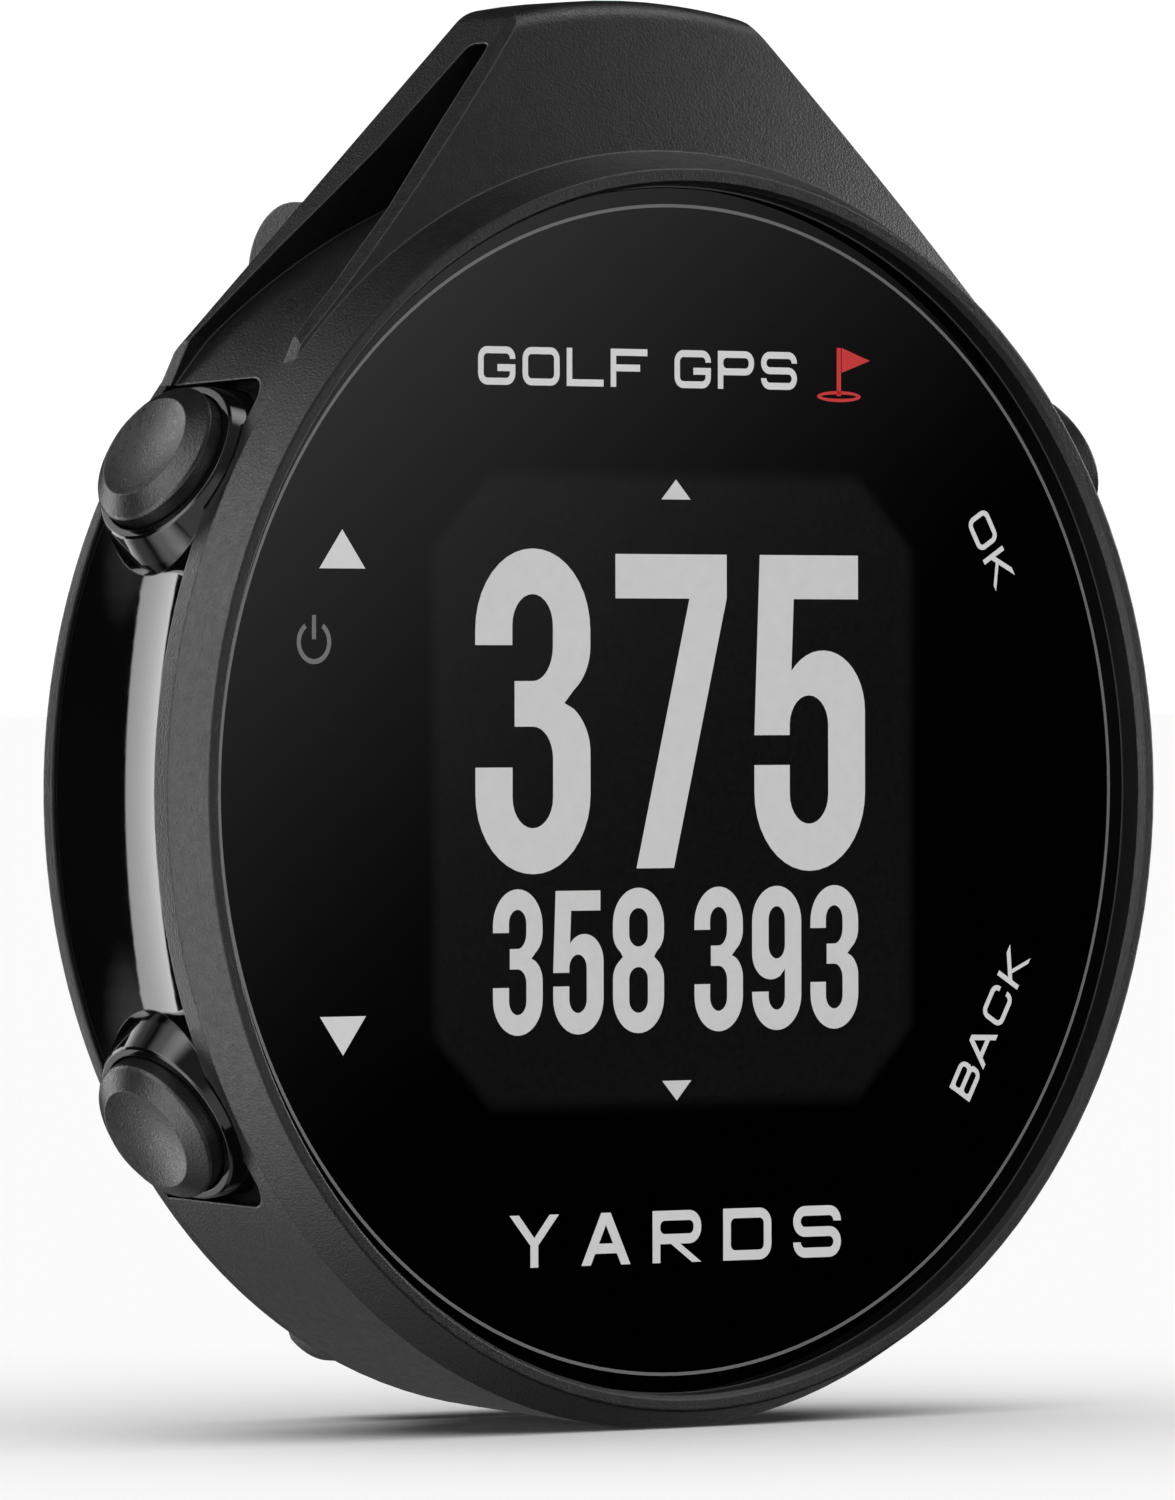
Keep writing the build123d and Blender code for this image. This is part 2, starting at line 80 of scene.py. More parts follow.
# ---------------------------------------------------------------- node helpers
class Tree:
    """Short names for building a node tree."""

    def __init__(self, tree):
        self.tree = tree

    def add(self, kind, inputs=(), **settings):
        node = self.tree.nodes.new(kind)
        for key, value in settings.items():
            setattr(node, key, value)
        for key, value in dict(inputs).items():
            self.put(node, key, value)
        return node

    def put(self, node, key, value):
        """Link or set one input."""
        if isinstance(value, bpy.types.NodeSocket):
            self.tree.links.new(value, node.inputs[key])
        else:
            node.inputs[key].default_value = value

    def math(self, operation, a, b=0.0, c=0.0):
        return self.add("ShaderNodeMath", {0: a, 1: b, 2: c}, operation=operation).outputs[0]

    def ramp(self, value, low, high, to_low=0.0, to_high=1.0, smooth=False):
        """Value carried from low..high to to_low..to_high, held at the ends."""
        node = self.add("ShaderNodeMapRange", {"Value": value, "From Min": low, "From Max": high,
                                               "To Min": to_low, "To Max": to_high})
        node.interpolation_type = "SMOOTHSTEP" if smooth else "LINEAR"
        return node.outputs[0]

    def grey(self, level):
        """Colour with the same level in all three channels."""
        return self.add("ShaderNodeCombineColor", {0: level, 1: level, 2: level}).outputs[0]

    def mix(self, factor, a, b):
        node = self.add("ShaderNodeMix", data_type="RGBA")
        self.put(node, 0, factor)
        self.put(node, 6, a)
        self.put(node, 7, b)
        return node.outputs[2]


def grey(value):
    return (value, value, value, 1.0)


def plain(colour):
    return (*colour, 1.0)


def new_material(name):
    made = bpy.data.materials.new(name)
    made.use_nodes = True
    tree = Tree(made.node_tree)
    return made, tree, made.node_tree.nodes["Principled BSDF"]


def place_mm(tree):
    """Position in the row frame, in millimetres."""
    source = tree.add("ShaderNodeTexCoord")
    return tree.add("ShaderNodeMapping", {0: source.outputs["Object"], 3: (1000, 1000, 1000)}).outputs[0]


def noise(tree, where, size, detail=2.0, rough=0.5):
    """Noise with features about size mm across."""
    node = tree.add("ShaderNodeTexNoise", {"Vector": where, "Scale": 1 / size, "Detail": detail,
                                           "Roughness": rough})
    return node.outputs[0]


def finish(name, colour, rough, tone=0.12, patch=5.0, spread=0.05, grain=0.0, depth=0.0,
           edge=0.0, edge_highlight=0.0, metal=0.0):
    """Solid finish, sizes in mm. The tone drifts over patches and the roughness over the grain,
    which stands depth high. Edges look rounded by the radius edge and get a painted highlight: their colour
    is lightened there by the given amount."""
    made, tree, shader = new_material(name)
    where = place_mm(tree)
    drift = noise(tree, where, patch, 3.0)
    dark = plain([c * (1 - tone) for c in colour])
    light = plain([c * (1 + tone) for c in colour])
    base = tree.mix(tree.ramp(drift, 0.35, 0.65), dark, light)
    normal = None
    if edge:
        normal = tree.add("ShaderNodeBevel", {"Radius": edge * MM}, samples=6).outputs[0]
    # painted highlight: the colour is lightened along rounded edges, where light would catch them
    if edge_highlight:
        flat = tree.add("ShaderNodeNewGeometry").outputs["Normal"]
        along = tree.add("ShaderNodeVectorMath", {0: normal, 1: flat}, operation="DOT_PRODUCT")
        edge_highlight_mask = tree.ramp(along.outputs["Value"], 0.985, 0.950)
        base = tree.mix(edge_highlight_mask, base, plain([c + edge_highlight for c in colour]))
    tree.put(shader, "Base Color", base)
    wander = noise(tree, where, 3 * grain or 0.35)
    tree.put(shader, "Roughness", tree.ramp(wander, 0.3, 0.7, rough - spread, rough + spread))
    shader.inputs["Metallic"].default_value = metal
    if depth:
        hills = noise(tree, where, grain, 2.5, 0.6)
        bump = tree.add("ShaderNodeBump",
                        {"Height": hills, "Distance": depth * MM, "Strength": 1.0})
        if normal:
            tree.put(bump, "Normal", normal)
        normal = bump.outputs[0]
    if normal:
        tree.put(shader, "Normal", normal)
    return made


WINDOW_HALF = (10.9, 11.7)   # the window's grey fades out between these, mm from its middle
WINDOW_CORNER = 8.7          # its corners are cut where |x| + |z| passes the half by this
WINDOW_SHADE = 0.0075


def lens_glass():
    """Black-backed glass with the display's window showing faintly."""
    made, tree, shader = new_material("lens_glass")
    where = place_mm(tree)
    part = tree.add("ShaderNodeSeparateXYZ", {0: where})
    x = tree.math("ABSOLUTE", tree.math("SUBTRACT", part.outputs[0], AXIS.x / MM))
    z = tree.math("ABSOLUTE", tree.math("SUBTRACT", part.outputs[2], AXIS.z / MM))
    side = tree.math("MAXIMUM", x, z)
    corner = tree.math("SUBTRACT", tree.math("ADD", x, z), WINDOW_CORNER)
    inside = tree.ramp(tree.math("SMOOTH_MAX", side, corner, 0.5), *WINDOW_HALF, 1.0, 0.0, smooth=True)
    speck = tree.ramp(noise(tree, where, 0.25, 1.0), 0.3, 0.7, 0.85, 1.15)
    shade = tree.math("MULTIPLY", tree.math("MULTIPLY", inside, speck), WINDOW_SHADE)
    tree.put(shader, "Base Color", tree.grey(shade))
    haze = noise(tree, where, 6.0, 2.0)
    tree.put(shader, "Roughness", tree.ramp(haze, 0.3, 0.7, 0.02, 0.05))
    return made


STEEL_GRAIN = dict(metal=1, grain=0.05, depth=0.002)
# the edge lightening given to some finishes below is a painted highlight
FINISHES = {
    "case_plastic": ((0.006, 0.006, 0.0063), 0.37, dict(grain=0.10, depth=0.022, edge=0.10, edge_highlight=0.05)),
    "key_plastic": ((0.008, 0.008, 0.0085), 0.31, dict(grain=0.09, depth=0.018, edge=0.08, edge_highlight=0.02)),
    "clip_plastic": ((0.020, 0.020, 0.0215), 0.50, dict(grain=0.12, depth=0.030, edge=0.12, edge_highlight=0.03)),
    "gloss_trim": ((0.003, 0.003, 0.0035), 0.045, dict(spread=0.02, edge=0.06)),
    "adhesive": ((0.03, 0.03, 0.03), 0.8, dict(grain=0.2, depth=0.02)),
    "display_glass": ((0.05, 0.055, 0.06), 0.06, dict(spread=0.02)),
    "frame_plastic": ((0.7, 0.7, 0.7), 0.45, dict(grain=0.1, depth=0.004)),
    "flex_film": ((0.55, 0.25, 0.04), 0.3, dict(tone=0.2)),
    "switch_steel": ((0.6, 0.6, 0.6), 0.35, STEEL_GRAIN),
    "board": ((0.01, 0.12, 0.05), 0.3, dict(tone=0.25, patch=1.2)),
    "tinned_steel": ((0.7, 0.7, 0.68), 0.3, dict(metal=1, grain=0.06, depth=0.002)),
    "ceramic": ((0.62, 0.58, 0.5), 0.6, dict(grain=0.05, depth=0.003)),
    "battery_foil": ((0.55, 0.56, 0.58), 0.35, dict(metal=1, grain=0.5, depth=0.02)),
    "seal_rubber": ((0.015, 0.015, 0.015), 0.7, dict(grain=0.06, depth=0.006)),
    "screw_steel": ((0.12, 0.12, 0.13), 0.32, dict(STEEL_GRAIN, edge=0.05)),
    "gold_contact": ((0.83, 0.60, 0.25), 0.25, dict(metal=1, grain=0.04, depth=0.001, edge=0.05)),
    "pin_steel": ((0.62, 0.62, 0.64), 0.25, dict(metal=1, grain=0.05, depth=0.001)),
    "spring_steel": ((0.5, 0.5, 0.52), 0.3, STEEL_GRAIN),
    "switch_plastic": ((0.02, 0.02, 0.02), 0.5, dict(grain=0.06, depth=0.004)),
}


def build_materials():
    made = {name: finish(name, colour, rough, **rest) for name, (colour, rough, rest) in FINISHES.items()}
    made["lens_glass"] = lens_glass()
    return made


def slot_of_nodes():
    """Each CAD node's material slot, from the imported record."""
    return {part["node"]: part["material_slot"] for part in frame["record"]["subparts"]}


# ---------------------------------------------------------------- prints
PRINT_LIFT = 0.010  # the ink stands this far in front of the lens, mm
PRINT_SINK = 0.004   # and reaches this far into it


def rounded(points, steps=6):
    """Closed outline from (x, z, corner radius) points."""
    made = []
    count = len(points)
    for i, (x, z, radius) in enumerate(points):
        here = Vector((x, z))
        if radius <= 0:
            made.append((x, z))
            continue
        before = (Vector(points[i - 1][:2]) - here).normalized()
        after = (Vector(points[(i + 1) % count][:2]) - here).normalized()
        half = before.angle(after) / 2
        reach = radius / math.tan(half)
        middle = here + (before + after).normalized() * (radius / math.sin(half))
        start, end = here + before * reach, here + after * reach
        a = math.atan2(*(start - middle).yx)
        b = math.atan2(*(end - middle).yx)
        turn = (b - a + math.pi) % (2 * math.pi) - math.pi
        for k in range(steps + 1):
            t = a + turn * k / steps
            made.append((middle.x + radius * math.cos(t), middle.y + radius * math.sin(t)))
    return made


def arc(cx, cz, rx, rz, start, end, steps=10):
    """Points along an upright ellipse, angles in degrees."""
    made = []
    for k in range(steps + 1):
        t = math.radians(start + (end - start) * k / steps)
        made.append((cx + rx * math.cos(t), cz + rz * math.sin(t)))
    return made


def circle(x, z, radius, points):
    """Closed circle: the last point is left out, as it would be the first again."""
    return arc(x, z, radius, radius, 0, 360 - 360 / points, points - 1)


def placed(outline, x, z, width, height):
    """Unit outline scaled to a box whose lower left corner is (x, z)."""
    return [(x + u * width, z + v * height) for u, v in outline]


def ink(name, outlines, material, at=(0.0, 0.0), lift=PRINT_LIFT):
    """Thin printed shape on the lens from closed outlines in mm about the case axis;
    an outline inside another is a hole."""
    curve = bpy.data.curves.new(name, "CURVE")
    curve.dimensions = "2D"
    curve.fill_mode = "BOTH"
    curve.extrude = (lift + PRINT_SINK) / 2
    for outline in outlines:
        spline = curve.splines.new("POLY")
        spline.points.add(len(outline) - 1)
        for point, (x, z) in zip(spline.points, outline):
            point.co = (x + at[0], z + at[1], 0, 1)
        spline.use_cyclic_u = True
    drawn = bpy.data.objects.new(name + "_curve", curve)
    mesh = bpy.data.meshes.new_from_object(drawn)
    bpy.data.objects.remove(drawn)
    bpy.data.curves.remove(curve)
    mesh.name = name
    work = bmesh.new()
    work.from_mesh(mesh)
    bmesh.ops.remove_doubles(work, verts=work.verts, dist=1e-4)
    bmesh.ops.recalc_face_normals(work, faces=work.faces)
    work.to_mesh(mesh)
    work.free()
    stand = Matrix.Translation(AXIS + Vector((0, (PRINT_SINK - lift) / 2 * MM, 0)))
    mesh.transform(stand @ Matrix.Rotation(math.radians(90), 4, "X") @ Matrix.Scale(MM, 4))
    mesh.materials.clear()
    mesh.materials.append(material)
    piece = bpy.data.objects.new(name, mesh)
    bpy.context.scene.collection.objects.link(piece)
    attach(piece, "case")


def three():
    return [
        [(0.000, 0.703)] + arc(0.5, 0.749, 0.5, 0.251, 180, 0, 20)
        + arc(0.62, 0.700, 0.38, 0.172, 0, -52, 8)
        + [(0.772, 0.525)] + arc(0.62, 0.372, 0.38, 0.172, 52, 0, 8)
        + arc(0.5, 0.245, 0.5, 0.245, 0, -180, 20)
        + [(0.000, 0.328), (0.320, 0.328)] + arc(0.497, 0.235, 0.177, 0.094, -180, 0, 14)
        + arc(0.5, 0.355, 0.174, 0.098, 0, 90, 8) + [(0.340, 0.453), (0.340, 0.593)]
        + arc(0.5, 0.700, 0.174, 0.107, -90, 0, 8) + arc(0.497, 0.764, 0.177, 0.096, 0, 180, 14)
        + [(0.320, 0.703)]
    ]


def five():
    return [
        [(0.050, 0.985), (0.938, 0.985), (0.938, 0.848), (0.355, 0.848), (0.333, 0.624)]
        + arc(0.62, 0.500, 0.38, 0.188, 140, 0, 16) + arc(0.5, 0.245, 0.5, 0.245, 0, -180, 20)
        + [(0.000, 0.331), (0.317, 0.331)] + arc(0.492, 0.240, 0.175, 0.093, -180, 0, 14)
        + arc(0.492, 0.455, 0.175, 0.093, 0, 180, 14) + [(0.317, 0.424), (0.000, 0.424)]
    ]


def seven():
    return [[(0.000, 0.985), (1.000, 0.985), (1.000, 0.850), (0.520, 0.014), (0.185, 0.014),
             (0.664, 0.848), (0.000, 0.848)]]


def eight():
    return [
        arc(0.5, 0.755, 0.5, 0.245, 0, 180, 20) + arc(0.38, 0.690, 0.38, 0.165, 180, 232, 8)
        + [(0.195, 0.525)] + arc(0.38, 0.375, 0.38, 0.165, 128, 180, 8)
        + arc(0.5, 0.245, 0.5, 0.245, 180, 360, 20) + arc(0.62, 0.375, 0.38, 0.165, 0, 52, 8)
        + [(0.805, 0.525)] + arc(0.62, 0.690, 0.38, 0.165, -52, 0, 8),
        arc(0.5, 0.775, 0.185, 0.085, 0, 180, 14) + arc(0.5, 0.680, 0.185, 0.085, 180, 360, 14),
        arc(0.5, 0.370, 0.185, 0.085, 0, 180, 14) + arc(0.5, 0.225, 0.185, 0.085, 180, 360, 14),
    ]


def nine():
    return [
        arc(0.5, 0.755, 0.5, 0.245, 0, 180, 20) + arc(0.38, 0.530, 0.38, 0.178, 180, 300, 12)
        + [(0.668, 0.425)] + arc(0.5, 0.235, 0.168, 0.094, 0, -180, 14) + [(0.332, 0.268), (0.0, 0.268)]
        + arc(0.5, 0.245, 0.5, 0.245, 180, 360, 20),
        arc(0.5, 0.765, 0.168, 0.094, 0, 180, 14) + arc(0.5, 0.590, 0.168, 0.094, 180, 360, 14),
    ]


DIGITS = {"3": three, "5": five, "7": seven, "8": eight, "9": nine}


def number(name, text, spots, low, high, material):
    """Digits side by side; spots are each digit's left and right edge."""
    for order, (digit, (left, right)) in enumerate(zip(text, spots)):
        outlines = [placed(o, left, low, right - left, high - low) for o in DIGITS[digit]()]
        ink(f"{name}_{order}", outlines, material)


def frame_of(x0, z0, x1, z1, radius):
    return rounded([(x0, z0, radius), (x1, z0, radius), (x1, z1, radius), (x0, z1, radius)])


def letter(sign, w, h, t):
    """Outlines of a squared sans letter of width w, height h and stroke t."""
    r = 0.30 * h
    q = max(r - t, 0.02)
    d = 1.2 * t
    mid = h / 2
    if sign == "O":
        return [frame_of(0, 0, w, h, r), frame_of(t, t, w - t, h - t, q)]
    if sign == "D":
        return [rounded([(0, 0, 0), (w, 0, r), (w, h, r), (0, h, 0)]), frame_of(t, t, w - t, h - t, q)]
    if sign == "C":
        return [rounded([(w, 0.66 * h, 0), (w, h, r), (0, h, r), (0, 0, r), (w, 0, r), (w, 0.34 * h, 0),
                         (w - t, 0.34 * h, 0), (w - t, t, q), (t, t, q), (t, h - t, q), (w - t, h - t, q),
                         (w - t, 0.66 * h, 0)])]
    if sign == "G":
        return [rounded([(w, 0.68 * h, 0), (w, h, r), (0, h, r), (0, 0, r), (w, 0, r), (w, 0.54 * h, 0),
                         (0.52 * w, 0.54 * h, 0), (0.52 * w, 0.54 * h - t, 0), (w - t, 0.54 * h - t, 0),
                         (w - t, t, q), (t, t, q), (t, h - t, q), (w - t, h - t, q), (w - t, 0.68 * h, 0)])]
    if sign == "S":
        return [rounded([(w, 0.70 * h, 0), (w, h, r), (0, h, r), (0, mid - t / 2, r), (w - t, mid - t / 2, q),
                         (w - t, t, q), (t, t, q), (t, 0.30 * h, 0), (0, 0.30 * h, 0), (0, 0, r), (w, 0, r),
                         (w, mid + t / 2, r), (t, mid + t / 2, q), (t, h - t, q), (w - t, h - t, q),
                         (w - t, 0.70 * h, 0)])]
    if sign == "L":
        return [[(0, 0), (w, 0), (w, t), (t, t), (t, h), (0, h)]]
    if sign == "F":
        return [[(0, 0), (t, 0), (t, mid - t / 2), (0.8 * w, mid - t / 2), (0.8 * w, mid + t / 2),
                 (t, mid + t / 2), (t, h - t), (w, h - t), (w, h), (0, h)]]
    if sign == "P":
        low = 0.36 * h
        return [rounded([(0, 0, 0), (t, 0, 0), (t, low, 0), (w, low, r), (w, h, r), (0, h, 0)]),
                frame_of(t, low + t, w - t, h - t, q)]
    if sign == "R":
        low = 0.36 * h
        return [rounded([(0, 0, 0), (t, 0, 0), (t, low, 0), (0.38 * w, low, 0), (w - d, 0, 0), (w, 0, 0),
                         (0.38 * w + d, low, 0), (w, low, r), (w, h, r), (0, h, 0)]),
                frame_of(t, low + t, w - t, h - t, q)]
    if sign == "B":
        small = 0.10 * h
        return [rounded([(0, 0, 0), (w, 0, r), (w, mid - 0.04 * h, small), (0.93 * w, mid, 0),
                         (0.97 * w, mid + 0.06 * h, small), (0.97 * w, h, r), (0, h, 0)]),
                frame_of(t, t, w - t, mid - t / 2, small),
                frame_of(t, mid + t / 2, 0.97 * w - t, h - t, small)]
    if sign == "A":
        slope = (w / 2 - 0.5 * d) / h
        bar = 0.22 * h
        return [[(0, 0), (d, 0), (d + slope * bar, bar), (w - d - slope * bar, bar), (w - d, 0), (w, 0),
                 (w - slope * h, h), (slope * h, h)],
                [(d + slope * (bar + t), bar + t), (w - d - slope * (bar + t), bar + t),
                 (w / 2, (w / 2 - d) / slope)]]
    if sign == "Y":
        fork = 0.42 * h
        return [[(w / 2 - t / 2, 0), (w / 2 + t / 2, 0), (w / 2 + t / 2, fork), (w, h), (w - d, h),
                 (w / 2, fork + 0.14 * h), (d, h), (0, h), (w / 2 - t / 2, fork)]]
    # K: the lower arm leaves the upper one a third of the way along
    rise = (h - 0.34 * h) / (0.96 * w - t)
    join = 0.30 * w
    join_z = 0.34 * h + rise * (join - t)
    fall = join_z / (w - d - join)
    meet = (fall * w + rise * t - 0.34 * h) / (rise + fall)
    return [[(0, 0), (t, 0), (t, 0.34 * h), (join, join_z), (w - d, 0), (w, 0), (meet, fall * (w - meet)),
             (0.96 * w, h), (t + 0.46 * h / rise, h), (t, 0.54 * h), (t, h), (0, h)]]


def words(name, text, widths, height, stroke, start, material, turn=0.0, centre=(0.0, 0.0), base=0.0):
    """A line of letters; widths holds each letter's left edge and width along the line."""
    turn = math.radians(turn)
    for order, (sign, (left, width)) in enumerate(zip(text, widths)):
        outlines = []
        for outline in letter(sign, width, height, stroke):
            flat = [(start + left + u, base + v) for u, v in outline]
            outlines.append([(centre[0] + a * math.cos(turn) - b * math.sin(turn),
                              centre[1] + a * math.sin(turn) + b * math.cos(turn)) for a, b in flat])
        ink(f"{name}_{order}", outlines, material)


def even(count, width, gap, breaks=()):
    """Left edges and widths of evenly spaced letters; breaks are wider gaps after a letter."""
    made, x = [], 0.0
    for i in range(count):
        made.append((x, width))
        x += width + gap + dict(breaks).get(i, 0.0)
    return made


def print_material(name, colour, glow):
    """Printed ink that glows a little, so that it reads as evenly lit."""
    made, tree, shader = new_material(name)
    where = place_mm(tree)
    low, high = [plain([c * k for c in colour]) for k in (0.96, 1.04)]
    tree.put(shader, "Base Color", tree.mix(tree.ramp(noise(tree, where, 0.6), 0.3, 0.7), low, high))
    tree.put(shader, "Roughness", tree.ramp(noise(tree, where, 0.3), 0.3, 0.7, 0.45, 0.55))
    shader.inputs["Emission Color"].default_value = plain([c / max(colour) for c in colour])
    shader.inputs["Emission Strength"].default_value = glow
    return made


def make_prints():
    white = print_material("print_white", (0.42, 0.42, 0.42), 0.22)
    label = print_material("print_label", (0.42, 0.42, 0.42), 0.27)
    dim = print_material("print_dim", (0.09, 0.09, 0.09), 0.060)
    # painted light: a faintly glowing grey ring over the shadowed gap between the lens and the bezel lip,
    # standing in for its lit edge
    gap_light = print_material("painted_gap_light", (0.05, 0.05, 0.05), 0.004)
    red = print_material("print_red", (0.34, 0.012, 0.012), 0.24)
    number("display_main", "375", ((-9.40, -4.05), (-2.86, 2.40), (3.72, 9.04)), -2.97, 8.67, white)
    number("display_low", "358", ((-8.60, -6.30), (-5.80, -3.45), (-3.00, -0.60)), -8.73, -3.50, white)
    number("display_high", "393", ((0.85, 3.15), (3.60, 5.95), (6.40, 8.70)), -8.73, -3.50, white)
    for side in (1, -1):
        ink(f"scroll_mark_{'up' if side > 0 else 'down'}",
            [[(-0.689, side * 10.47), (0.689, side * 10.47), (0, side * 11.19)][::side]], white)
        ink(f"key_mark_{'up' if side > 0 else 'down'}",
            [[(-16.536, side * 7.91), (-14.444, side * 7.91), (-15.49, side * 9.29)][::side]], label)
    ink("face_ring", [circle(0, 0, 21.11, 180), circle(0, 0, 20.99, 180)], dim)
    ink("power_mark", [arc(0, 0, 0.78, 0.78, 124, 416, 30) + arc(0, 0, 0.60, 0.60, 416, 124, 30),
                       [(-0.09, 0.10), (0.09, 0.10), (0.09, 0.95), (-0.09, 0.95)]], dim, at=(-16.78, 5.31))
    # the glowing ring of painted light over the shadowed gap at the lens edge
    ink("painted_gap_light", [circle(0, 0, 21.77, 180), circle(0, 0, 21.715, 180)], gap_light, lift=0.03)
    words("ok_label", "OK", ((0.0, 1.32), (1.62, 1.30)), 1.10, 0.19, -1.56,
          label, -60, (15.17, 8.63), -0.44)
    words("back_label", "BACK", ((0.0, 1.25), (1.36, 1.46), (3.08, 1.35), (4.72, 1.33)), 1.13, 0.19, -3.0,
          label, 60, (15.05, -8.61), -0.66)
    words("name_label", "GOLFGPS", even(7, 1.72, 0.34, ((3, 0.95),)), 1.37, 0.25, -9.25, label, base=14.49)
    words("unit_label", "YARDS", even(5, 2.30, 1.05), 1.88, 0.36, -7.85, label, base=-17.03)
    # little flag beside the name
    ink("flag_pole", [[(7.70, 14.30), (7.90, 14.30), (7.90, 16.05), (7.70, 16.05)]], red)
    ink("flag_cloth", [[(7.94, 15.15), (9.30, 15.60), (7.94, 16.05)]], red)
    ink("flag_hole", [arc(7.80, 14.28, 1.05, 0.20, 0, 350, 35),
                      arc(7.80, 14.28, 0.85, 0.08, 0, 350, 35)], red)


# ---------------------------------------------------------------- studio
STRIP_AZIMUTH = 14.6        # tall strip behind the object, this far left of straight behind
STRIP_HALF = (12.0, 10.5)   # dark outside the first angle from its middle, full inside the second
STRIP_ELEVATION = (25, 38)  # it fades out upwards and downwards between these
STRIP_LEVEL = 3.6
# The lens mirrors a large box in front. Its light is set by the grey that it gives the lens,
# in steps of 255: at the lens' middle, and what is added per mm to the right and per mm up.
LENS_GREY = 9.9
LENS_GREY_RIGHT = -1.15
LENS_GREY_UP = 1.52
LENS_GREY_MOST = 60.0
GLASS_SHARE = 0.045         # the part of that light which the glass gives back
EYE_SIDE, EYE_DEPTH, EYE_RISE = 317, 372, 3.5   # mirrored from here, mm off the lens' middle
AMBIENT = 0.004
FILL = 0.08                 # even light on everything matt
BACKDROP = 1.05
# soft boxes round the object: direction, inner and outer radius in degrees, brightness
REFLECTED_BOXES = (
    ((-1.00, 0.00, 0.00), 6, 28, 3.7),
    ((-0.84, 0.05, 0.54), 6, 22, 4.0),
    ((-0.84, 0.05, -0.54), 6, 22, 3.2),
    ((-0.60, 0.10, 0.80), 6, 26, 1.6),
    ((-0.60, 0.10, -0.80), 6, 26, 1.9),
    ((0.00, 0.10, -1.00), 6, 28, 0.5),
    ((1.00, -0.20, 0.12), 6, 24, 4.6),
    ((0.62, -0.12, 0.78), 4, 18, 3.2),
    ((-0.45, 0.72, 0.56), 4, 16, 0.3),
    ((-0.40, 0.74, -0.57), 5, 18, 0.5),
    ((-0.20, 0.76, 0.62), 4, 14, 0.3),
    ((0.15, 0.78, -0.60), 6, 22, 0.30),
    ((0.55, 0.70, -0.42), 8, 28, 0.16),
    ((0.13, 0.99, 0.00), 5, 15, 0.1),
)


def boxes(tree, way, rows):
    """Sum of round soft boxes seen along a direction."""
    total = None
    for direction, inner, outer, level in rows:
        lean = tree.add("ShaderNodeVectorMath", {0: way, 1: tuple(Vector(direction).normalized())},
                        operation="DOT_PRODUCT").outputs["Value"]
        shown = tree.ramp(lean, math.cos(math.radians(outer)), math.cos(math.radians(inner)),
                          0.0, level, smooth=True)
        total = shown if total is None else tree.math("ADD", total, shown)
    return total


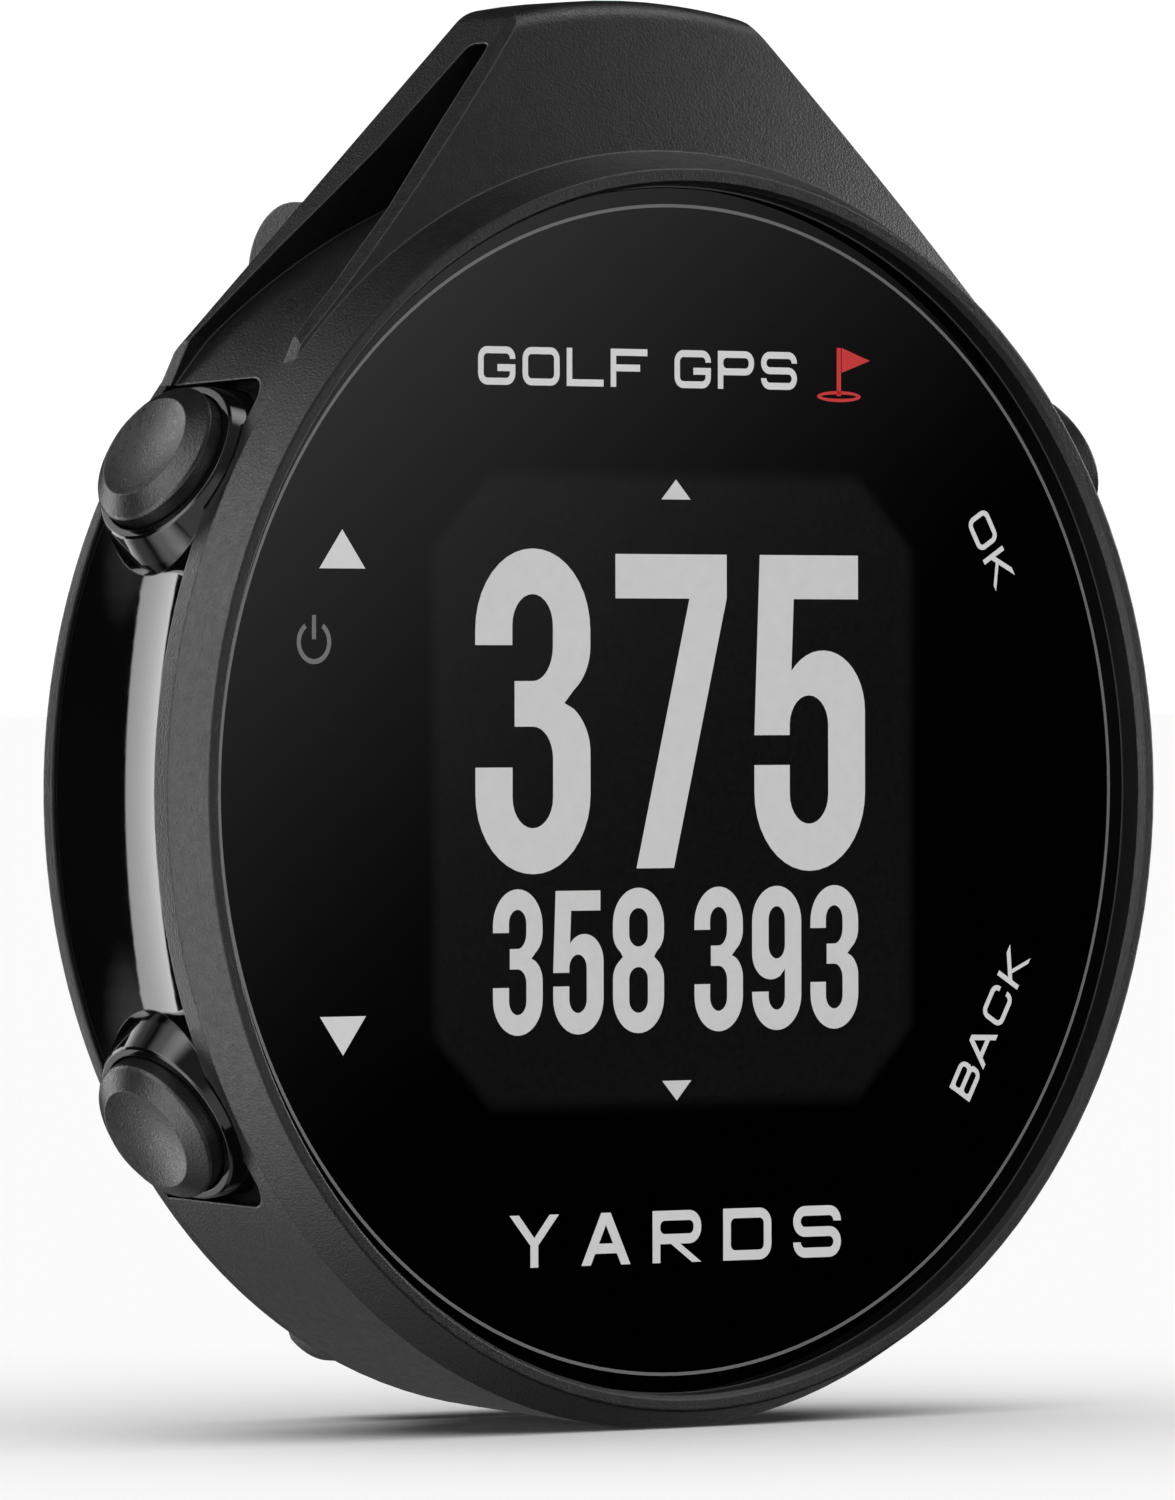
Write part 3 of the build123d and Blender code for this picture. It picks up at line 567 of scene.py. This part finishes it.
def make_world():
    world = bpy.data.worlds.new("studio")
    bpy.context.scene.world = world
    world.use_nodes = True
    tree = Tree(world.node_tree)
    back = world.node_tree.nodes["Background"]
    path = tree.add("ShaderNodeLightPath")
    way = tree.add("ShaderNodeTexCoord").outputs["Generated"]
    part = tree.add("ShaderNodeSeparateXYZ", {0: way})
    x, y, z = part.outputs
    # tall strip behind the object
    flat = tree.math("SQRT", tree.math("ADD", tree.math("MULTIPLY", x, x), tree.math("MULTIPLY", y, y)))
    flat = tree.math("MAXIMUM", flat, 0.01)
    strip = math.radians(STRIP_AZIMUTH)
    aside = tree.math("MULTIPLY_ADD", tree.math("DIVIDE", y, flat), math.cos(strip),
                      tree.math("MULTIPLY", tree.math("DIVIDE", x, flat), -math.sin(strip)))
    outer, inner = [math.cos(math.radians(angle)) for angle in STRIP_HALF]
    behind = tree.ramp(aside, outer, inner, 0.0, STRIP_LEVEL, smooth=True)
    full, gone = [math.sin(math.radians(angle)) for angle in STRIP_ELEVATION]
    tall = tree.ramp(tree.math("ABSOLUTE", z), full, gone, 1.0, 0.0, smooth=True)
    behind = tree.math("MULTIPLY", behind, tall)
    # large box in front whose edge fades out across the lens
    depth = tree.math("MAXIMUM", tree.math("MULTIPLY", y, -1), 0.05)
    across = tree.math("DIVIDE", x, depth)
    rise = tree.math("DIVIDE", z, depth)
    start = LENS_GREY - LENS_GREY_RIGHT * EYE_SIDE + LENS_GREY_UP * EYE_RISE
    level = tree.math("ADD", tree.math("MULTIPLY_ADD", across, LENS_GREY_RIGHT * EYE_DEPTH, start),
                      tree.math("MULTIPLY", rise, LENS_GREY_UP * EYE_DEPTH))
    level = tree.ramp(level, 0.0, LENS_GREY_MOST, 0.0, LENS_GREY_MOST / 255)
    level = tree.math("DIVIDE", tree.math("POWER", level, 2.2), GLASS_SHARE)
    level = tree.math("MULTIPLY", level, tree.ramp(rise, 0.08, 0.35, 1.0, 0.25, smooth=True))
    level = tree.math("MULTIPLY", level, tree.math("LESS_THAN", y, 0.0))
    seen = tree.math("ADD", tree.math("ADD", behind, level), boxes(tree, way, REFLECTED_BOXES))
    seen = tree.math("ADD", seen, AMBIENT)
    light = tree.mix(path.outputs["Is Glossy Ray"], grey(FILL), tree.grey(seen))
    light = tree.mix(path.outputs["Is Camera Ray"], light, grey(BACKDROP))
    tree.put(back, "Color", light)
    back.inputs["Strength"].default_value = 1.0


def make_floor():
    work = bmesh.new()
    bmesh.ops.create_grid(work, x_segments=1, y_segments=1, size=12)
    mesh = bpy.data.meshes.new("floor")
    work.to_mesh(mesh)
    work.free()
    floor = bpy.data.objects.new("floor", mesh)
    bpy.context.scene.collection.objects.link(floor)
    made, tree, shader = new_material("floor")
    shader.inputs["Base Color"].default_value = grey(0.92)
    shader.inputs["Roughness"].default_value = 0.9
    shader.inputs["Specular IOR Level"].default_value = 0.0
    mesh.materials.append(made)
    floor.visible_glossy = False


def make_lights():
    data = bpy.data.lights.new("overhead", "SUN")
    data.energy = 3.05
    data.angle = math.radians(110)
    lamp = bpy.data.objects.new("overhead", data)
    bpy.context.scene.collection.objects.link(lamp)
    lamp.location = (0, 0, 1)
    lamp.visible_glossy = False


# ---------------------------------------------------------------- put together
make_camera()
make_world()
make_floor()
make_lights()
MATERIALS = build_materials()
SLOTS = slot_of_nodes()
for node, thing in NODES.items():
    wanted = SLOTS.get(node)
    if wanted not in MATERIALS:
        raise RuntimeError(f"no finish for {node}: {wanted}")
    if not thing.material_slots:
        thing.data.materials.append(MATERIALS[wanted])
    for each in thing.material_slots:
        each.material = MATERIALS[wanted]
make_prints()

scene = bpy.context.scene
scene.view_settings.view_transform = "Standard"
